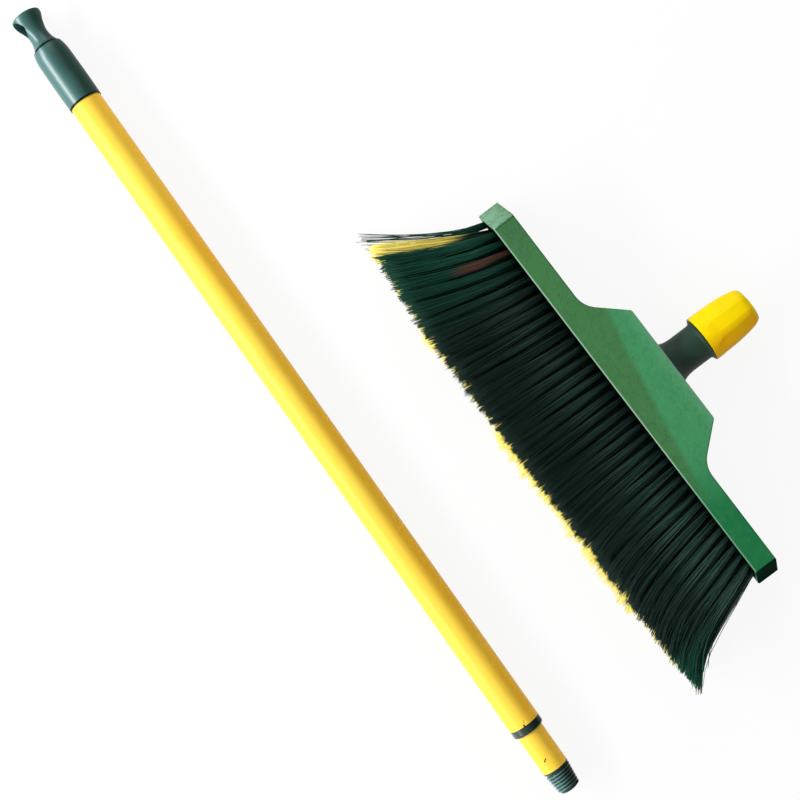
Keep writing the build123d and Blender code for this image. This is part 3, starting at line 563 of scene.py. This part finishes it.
class BROOM_OT_block(bpy.types.Operator):
    """Finish the block's cover, the tuft block and their fasteners"""

    bl_idname = "broom.block"
    bl_label = "Block"

    def execute(self, context):
        look = context.scene.broom_block
        dress(moulded_green(look), "head_cover")
        dress(block_black(look), "tuft_block")
        dress(bright_steel(look), "tuft_staples", "block_screws", "neck_screws", "stop_washer", "stop_screw")
        return {"FINISHED"}


# The rows, numbered from the front, and the strips that their tufts are bound in
ROWS = 5
MIDDLE_ROW = 3
YELLOW_ROWS = (3, 4)
ROW_PITCH = 0.008
STRIP_WIDTH = 0.005
STRIP_THICKNESS = 0.003
STRIP_END_GAP = 0.0005
STRIP_BEVEL = 0.0003

# The tufts: how deep they are rooted, how far the last one is from its strip's end, how much wider than the front
# row's they are, the odd tuft by its row and its number from the left, and how many yellow ones are clean there
TUFT_ROOT = 0.0005
TUFT_END_MARGIN = 0.0025
ROOT_WIDTH = {2: 1.3, 3: 1.6, 4: 1.6, 5: 1.4}
ODD_TUFT = (1, 2)
CLEAN_TUFTS = 2

# A filament: its points along it, how it draws in at them, and its sides
FILAMENT_STEPS = (0.0, 0.30, 0.55, 0.76, 0.89, 1.0)
FILAMENT_TAPER = (1.0, 0.98, 0.95, 0.90, 0.82, 0.62)
FILAMENT_SIDES = 4

# The fan: the share of its lean that grows evenly along a row, the rest growing as the cube; the share of a row's
# height from the middle row by which its tips open; how a filament bends; and how much shorter the end ones are
FAN_EVEN = 0.45
FAN_OPENING = 0.12
LEFT_BEND = 1.3
RIGHT_BEND = 6.0
RIGHT_STRAIGHT = 0.68
LEFT_DROP = 0.007
RIGHT_DROP = 0.0005
DROP_POWER = 6

# What holds near a row's ends only, by this power: how far the tips lean further out than the fan takes them, by
# row, and how far the yellow roots are tucked in
END_POWER = 8
LEFT_LEAN = {3: 0.0048, 4: 0.0043}
RIGHT_LEAN = {3: -0.009, 4: -0.010, 5: -0.007}
YELLOW_TUCK = 0.0025

# The clumps: how they spread along and across a row by the tips, how much less the yellow ones do at the left end,
# and how far the filaments gather in them
CLUMP_SPREAD = 2.8
CLUMP_SPREAD_POWER = 1.2
CLUMP_HELD = 1.9
CLUMP_OPENING = 1.3
CLUMP_GATHER = 0.5

# How unevenly the filaments lean, rise, bow, bend and end, how the dark tips drift in and out along a row, and how
# many filaments end early and by how much at most
LEAN_STRAY = 0.0008
RISE_STRAY = 0.0006
BOW_STRAY = 0.0004
BEND_STRAY = 0.08
DARK_STRAY = 0.0008
YELLOW_STRAY = 0.0016
DARK_DRIFT = 0.0006
SHORT_SHARE = 0.10
SHORT_BY = 0.010

# Wisps that stand out past an end of a row: the end, how much further their tips lean, and their filaments
WISPS = {
    2: ((1, 0.0050, 6),),
    4: ((-1, 0.0095, 5),),
    5: ((-1, 0.0095, 6), (-1, 0.0140, 7), (-1, 0.0180, 4)),
}
WISP_RADIUS = 0.0005
WISP_FURTHER = 0.002

# Patches of yellow tips past the dark ones: places along the block with their share of a whole patch, how evenly
# they run out, and the share at the first tuft
PATCHES = (
    (-0.114, 0.00), (-0.108, 0.60), (-0.088, 0.60), (-0.080, 0.20), (-0.036, 0.25),
    (-0.030, 0.95), (-0.018, 0.95), (-0.012, 0.50), (-0.004, 0.90), (0.100, 0.95),
    (0.108, 0.25), (0.128, 0.20), (0.134, 0.55), (0.144, 0.40), (0.148, 0.00),
)
PATCH_EVEN = 0.85
PATCH_DRIFT = 0.3
PATCH_FIRST = 0.5

SEED = 40


def row_height(row):
    """Height of a row above the floor. Row 1 is the front one."""
    return BLOCK_MIDDLE + (MIDDLE_ROW - row) * ROW_PITCH


def strip_half_length(row):
    """Half the length of the strip that a row is bound in; the block's ends slant out to its back."""
    top = row_height(row) + STRIP_WIDTH / 2
    wall = COVER_WALL * sqrt(1 + END_SLANT**2)
    return FRONT_HALF_LENGTH + END_SLANT * (BLOCK_DEPTH - top) - wall - STRIP_END_GAP


def tuft_places(row, count):
    """Where the tufts of a row stand; every other row is set half a step along."""
    span = strip_half_length(row) - TUFT_END_MARGIN
    step = 2 * span / (count - 0.5)
    start = (row - 1) % 2 * step / 2 - span
    return [start + i * step for i in range(count)]


def drift(x, seed):
    """A slow uneven wave along a row, from about -1 to 1."""
    return 0.5 * sin(61.0 * x + seed) + 0.3 * sin(143.0 * x + 2.1 * seed) + 0.2 * sin(317.0 * x + 3.7 * seed)


def end_lean(row, part):
    """How far a tip leans out by its place in the row, from -1 at the left end to 1 at the right."""
    if part < 0:
        return -LEFT_LEAN.get(row, 0.0) * part**END_POWER
    return RIGHT_LEAN.get(row, 0.0) * part**END_POWER


def sweep(along, left, stray):
    """The share of its lean that a filament has reached this far along it."""
    if left:
        return along ** (LEFT_BEND + stray)
    return RIGHT_STRAIGHT * along ** (1 + stray) + (1 - RIGHT_STRAIGHT) * along**RIGHT_BEND


def disc(chance, radius):
    """A random spot within a radius."""
    turn = 2 * pi * chance.random()
    out = radius * sqrt(chance.random())
    return out * cos(turn), out * sin(turn)


def filament_line(x, row, look, chance, spot, clump, reach, further=0.0):
    """The points of one filament, from its root at a spot in the tuft at x to its tip in a clump."""
    half = strip_half_length(row)
    part = x / half
    left = x < 0
    yellow = row in YELLOW_ROWS
    share = (x + spot[0]) / half
    fan = look.left_fan if left else look.right_fan
    fanned = fan * (FAN_EVEN * share + (1 - FAN_EVEN) * share**3)
    lean = fanned + end_lean(row, part) + chance.gauss(0.0, LEAN_STRAY)
    lean += -further if left else further
    inward = YELLOW_TUCK * part**END_POWER * (1 if left else -1) if yellow else 0.0
    held = CLUMP_HELD * part**END_POWER if yellow and left else 0.0
    rise = FAN_OPENING * (row_height(row) - BLOCK_MIDDLE) + chance.gauss(0.0, RISE_STRAY)
    bow = chance.gauss(0.0, BOW_STRAY)
    stray = chance.gauss(0.0, BEND_STRAY)
    fall = reach - (LEFT_DROP if left else RIGHT_DROP) * part**DROP_POWER
    points = []
    for along in FILAMENT_STEPS:
        gathered = 1 - CLUMP_GATHER * along**2
        swept = sweep(along, left, stray)
        spread = (CLUMP_SPREAD - held) * along**CLUMP_SPREAD_POWER
        off_x = clump[0] * (1 + spread) + (spot[0] - clump[0]) * gathered
        off_z = clump[1] * (1 + CLUMP_OPENING * along) + (spot[1] - clump[1]) * gathered
        points.append(
            (
                x + off_x + inward * (1 - along) ** 3 + lean * swept + bow * sin(pi * along),
                TUFT_FACE + TUFT_ROOT - (fall + TUFT_ROOT) * along,
                max(row_height(row) + off_z + rise * swept, look.radius),
            )
        )
    return points


def row_lines(row, look, chance):
    """The filaments of a row, and whether each is in an odd or a clean tuft."""
    yellow = row in YELLOW_ROWS
    stray = YELLOW_STRAY if yellow else DARK_STRAY
    places = tuft_places(row, look.tufts)
    lines = []
    odd = []
    for number, x in enumerate(places):
        differs = number < CLEAN_TUFTS if yellow else (row, number) == ODD_TUFT
        wide = look.tuft_radius * (1.0 if differs else ROOT_WIDTH.get(row, 1.0))
        reach = look.dark_length + DARK_DRIFT * drift(x, row)
        if yellow:
            patch = np.interp(x, *zip(*PATCHES)) * (PATCH_EVEN + PATCH_DRIFT * drift(x, 2.0))
            reach = look.yellow_length + look.patches * (PATCH_FIRST if number == 0 else patch)
        clumps = [(*disc(chance, wide), chance.gauss(0.0, look.ragged)) for _ in range(look.clumps)]
        for _ in range(look.filaments):
            clump = chance.choice(clumps)
            short = SHORT_BY * chance.random() if chance.random() < SHORT_SHARE else 0.0
            long = reach + clump[2] + chance.gauss(0.0, stray) - short
            lines.append(filament_line(x, row, look, chance, disc(chance, wide), clump, long))
            odd.append(float(differs))
    for side, further, count in WISPS.get(row, ()):
        x = places[0] if side < 0 else places[-1]
        clump = disc(chance, WISP_RADIUS)
        for _ in range(count):
            long = look.dark_length + chance.gauss(WISP_FURTHER, WISP_FURTHER)
            lines.append(filament_line(x, row, look, chance, disc(chance, WISP_RADIUS), clump, long, further))
            odd.append(0.0)
    return lines, odd


def filament_mesh(name, lines, radius):
    """Thin four-sided filaments along the lines, finer towards their tips."""
    curve = bpy.data.curves.new(name, "CURVE")
    curve.dimensions = "3D"
    curve.bevel_depth = radius
    curve.bevel_resolution = 0
    for line in lines:
        spline = curve.splines.new("POLY")
        spline.points.add(len(line) - 1)
        spline.points.foreach_set("co", [value for point in line for value in (*point, 1.0)])
        spline.points.foreach_set("radius", FILAMENT_TAPER)
    holder = bpy.data.objects.new(name, curve)
    mesh = bpy.data.meshes.new_from_object(holder)
    bpy.data.objects.remove(holder)
    bpy.data.curves.remove(curve)
    return mesh


def row_piece(row, look, finish, strip_finish):
    """A row of tufts with the strip that they are bound in."""
    chance = Random(SEED + row)
    lines, odd = row_lines(row, look, chance)
    name = f"bristles_{row}"
    mesh = filament_mesh(name, lines, look.radius)
    per_line = len(FILAMENT_STEPS) * FILAMENT_SIDES
    if len(mesh.vertices) != per_line * len(lines):
        raise RuntimeError(f"{name} has {len(mesh.vertices)} vertices, not {per_line * len(lines)}")
    tones = np.repeat([chance.random() for _ in lines], per_line)
    along = np.tile(np.repeat(FILAMENT_STEPS, FILAMENT_SIDES), len(lines))
    for attribute, values in (("tone", tones), ("along", along), ("odd", np.repeat(odd, per_line))):
        layer = mesh.attributes.new(attribute, "FLOAT", "POINT")
        layer.data.foreach_set("value", np.asarray(values, np.float32))
    mesh.materials.clear()
    mesh.materials.append(finish)
    mesh.materials.append(strip_finish)
    shape = bmesh.new()
    shape.from_mesh(mesh)
    open_ends = [edge for edge in shape.edges if edge.is_boundary]
    bmesh.ops.holes_fill(shape, edges=open_ends, sides=FILAMENT_SIDES)
    size = (2 * strip_half_length(row), STRIP_THICKNESS, STRIP_WIDTH)
    middle = Vector((0.0, TUFT_FACE + STRIP_THICKNESS / 2, row_height(row)))
    place = Matrix.Translation(middle) @ Matrix.Diagonal((*size, 1.0))
    strip = bmesh.ops.create_cube(shape, size=1.0, matrix=place)["verts"]
    faces = {face for vert in strip for face in vert.link_faces}
    for face in faces:
        face.material_index = 1
    edges = list({edge for vert in strip for edge in vert.link_edges})
    bmesh.ops.bevel(
        shape, geom=edges, offset=STRIP_BEVEL, segments=2, profile=0.5, affect="EDGES", material=-1, clamp_overlap=True
    )
    shape.to_mesh(mesh)
    shape.free()
    slot = "bristle_yellow" if row in YELLOW_ROWS else "bristle_dark"
    return finished_object(name, mesh, "head", slot, f"bristle_row_{row}")


class BROOM_OT_bristles(bpy.types.Operator):
    """Make the five rows of bristles, filament by filament"""

    bl_idname = "broom.bristles"
    bl_label = "Bristles"

    def execute(self, context):
        look = context.scene.broom_bristles
        dark = dark_filament(look)
        yellow = yellow_filament(look)
        strip = frame["nodes"]["tuft_block"].material_slots[0].material
        for row in range(1, ROWS + 1):
            row_piece(row, look, yellow if row in YELLOW_ROWS else dark, strip)
        return {"FINISHED"}


class BROOM_OT_socket(bpy.types.Operator):
    """Finish the neck, its lock nut and its clamp ring"""

    bl_idname = "broom.socket"
    bl_label = "Socket"

    def execute(self, context):
        look = context.scene.broom_socket
        dress(charcoal(look), "neck_socket")
        dress(nut_yellow(look), "lock_nut")
        dress(natural_nylon(look), "clamp_ring", "lock_core", "expander_sleeve", "wedge_nut")
        return {"FINISHED"}


class BROOM_OT_handle(bpy.types.Operator):
    """Finish the handle's tubes, grip, cap, collar and plug"""

    bl_idname = "broom.handle"
    bl_label = "Handle"

    def execute(self, context):
        look = context.scene.broom_handle
        dress(tube_yellow(look), "outer_tube", "inner_tube")
        grip = satin_green("grip_green", look.grip, look.grip_shade, look.grip, look.seam, 0.36, 0.80)
        plug = satin_green("plug_green", look.plug, look.plug_shade, look.plug_crest_highlight, look.seam, 0.27, 1.0)
        dress(grip, "grip_sleeve", "hang_cap")
        dress(plug, "collar_bush", "thread_plug")
        return {"FINISHED"}


# The floor runs this far from the middle on each side, and a low backdrop stands around its edge
FLOOR_REACH = 30.0
BACKDROP_HEIGHT = 3.0
FLOOR_GLOW = 0.90

# The lamps' sizes and places, and the spot that they point at
KEY_SIZE = (2.60, 0.30)
KEY_PLACE = (-0.85, -1.85, 1.10)
FILL_SIZE = (0.90, 0.90)
FILL_PLACE = (-1.35, 0.50, 0.70)
LIT_SPOT = (-0.05, -0.08, 0.0)


def area_lamp(name, power, size, place):
    """A lamp that points at the lit spot."""
    lamp = bpy.data.lights.new(name, "AREA")
    lamp.energy = power
    lamp.shape = "RECTANGLE"
    lamp.size, lamp.size_y = size
    holder = bpy.data.objects.new(name, lamp)
    holder.location = place
    holder.rotation_euler = (Vector(LIT_SPOT) - Vector(place)).to_track_quat("-Z", "Y").to_euler()
    bpy.context.scene.collection.objects.link(holder)


def seen_directly(finish):
    """1 where the eye, a gloss or a clear piece looks, 0 for the light that a surface scatters."""
    path = finish.add("ShaderNodeLightPath").socket.node
    rays = [Shade(finish, path.outputs[f"Is {kind} Ray"]) for kind in ("Camera", "Glossy", "Transmission")]
    return finish.math("MINIMUM", rays[0] + rays[1] + rays[2], 1.0)


def floor_white(look):
    """White floor that keeps the shadow."""
    finish = Finish("floor_white")
    fleck = finish.noise(180.0, 2.0)
    white = finish.blend(fleck, look.paper, look.paper_pale)
    paper = finish.add("ShaderNodeBsdfDiffuse", sockets={"Color": white})
    glow = finish.add("ShaderNodeEmission", sockets={"Color": (1.0, 1.0, 1.0, 1.0), "Strength": 1.0})
    return finish.close(finish.mixed(seen_directly(finish) * FLOOR_GLOW, paper, glow))


def floor_mesh(look):
    """The floor with its low backdrop."""
    mesh = bpy.data.meshes.new("floor")
    shape = bmesh.new()
    bmesh.ops.create_grid(shape, x_segments=1, y_segments=1, size=FLOOR_REACH)
    rise = bmesh.ops.extrude_edge_only(shape, edges=shape.edges[:])["geom"]
    rim = [part for part in rise if isinstance(part, bmesh.types.BMVert)]
    bmesh.ops.translate(shape, verts=rim, vec=(0.0, 0.0, BACKDROP_HEIGHT))
    shape.to_mesh(mesh)
    shape.free()
    mesh.materials.append(floor_white(look))
    return mesh


def studio_world(look):
    """Even white light from all round."""
    world = bpy.data.worlds.new("studio")
    world.use_nodes = True
    sky = world.node_tree.nodes["Background"]
    sky.inputs["Color"].default_value = (1.0, 1.0, 1.0, 1.0)
    sky.inputs["Strength"].default_value = look.sky
    return world


class BROOM_OT_stage(bpy.types.Operator):
    """Lay the floor and set the lamps and the camera"""

    bl_idname = "broom.stage"
    bl_label = "Stage"

    def execute(self, context):
        look = context.scene.broom_stage
        scene = context.scene
        scene.view_settings.view_transform = "Standard"
        floor = bpy.data.objects.new("floor", floor_mesh(look))
        scene.collection.objects.link(floor)
        scene.world = studio_world(look)
        area_lamp("key", look.key, KEY_SIZE, KEY_PLACE)
        area_lamp("fill", look.fill, FILL_SIZE, FILL_PLACE)
        camera = bpy.data.cameras.new("camera")
        camera.lens = look.lens
        camera.sensor_width = 36.0
        eye = bpy.data.objects.new("camera", camera)
        eye.location = look.eye
        eye.rotation_euler = look.turn
        scene.collection.objects.link(eye)
        scene.camera = eye
        return {"FINISHED"}


STEPS = (BROOM_OT_block, BROOM_OT_bristles, BROOM_OT_socket, BROOM_OT_handle, BROOM_OT_stage)
LOOKS = {
    "broom_block": BlockLook,
    "broom_bristles": BristleLook,
    "broom_socket": SocketLook,
    "broom_handle": HandleLook,
    "broom_stage": StageLook,
}


class BROOM_PT_sidebar(bpy.types.Panel):
    """Looks of the broom's pieces"""

    bl_label = "Broom"
    bl_space_type = "VIEW_3D"
    bl_region_type = "UI"
    bl_category = "Broom"

    def draw(self, context):
        for step, name in zip(STEPS, LOOKS):
            box = self.layout.box()
            box.operator(step.bl_idname)
            look = getattr(context.scene, name)
            for key in LOOKS[name].__annotations__:
                box.prop(look, key)


def register():
    for group in (*LOOKS.values(), *STEPS, BROOM_PT_sidebar):
        bpy.utils.register_class(group)
    for name, group in LOOKS.items():
        setattr(bpy.types.Scene, name, PointerProperty(type=group))


def unregister():
    for name in LOOKS:
        delattr(bpy.types.Scene, name)
    for group in (BROOM_PT_sidebar, *reversed(STEPS), *LOOKS.values()):
        bpy.utils.unregister_class(group)


def main():
    register()
    for step in STEPS:
        getattr(bpy.ops.broom, step.bl_idname.split(".")[1])()


if __name__ == "__main__":
    main()
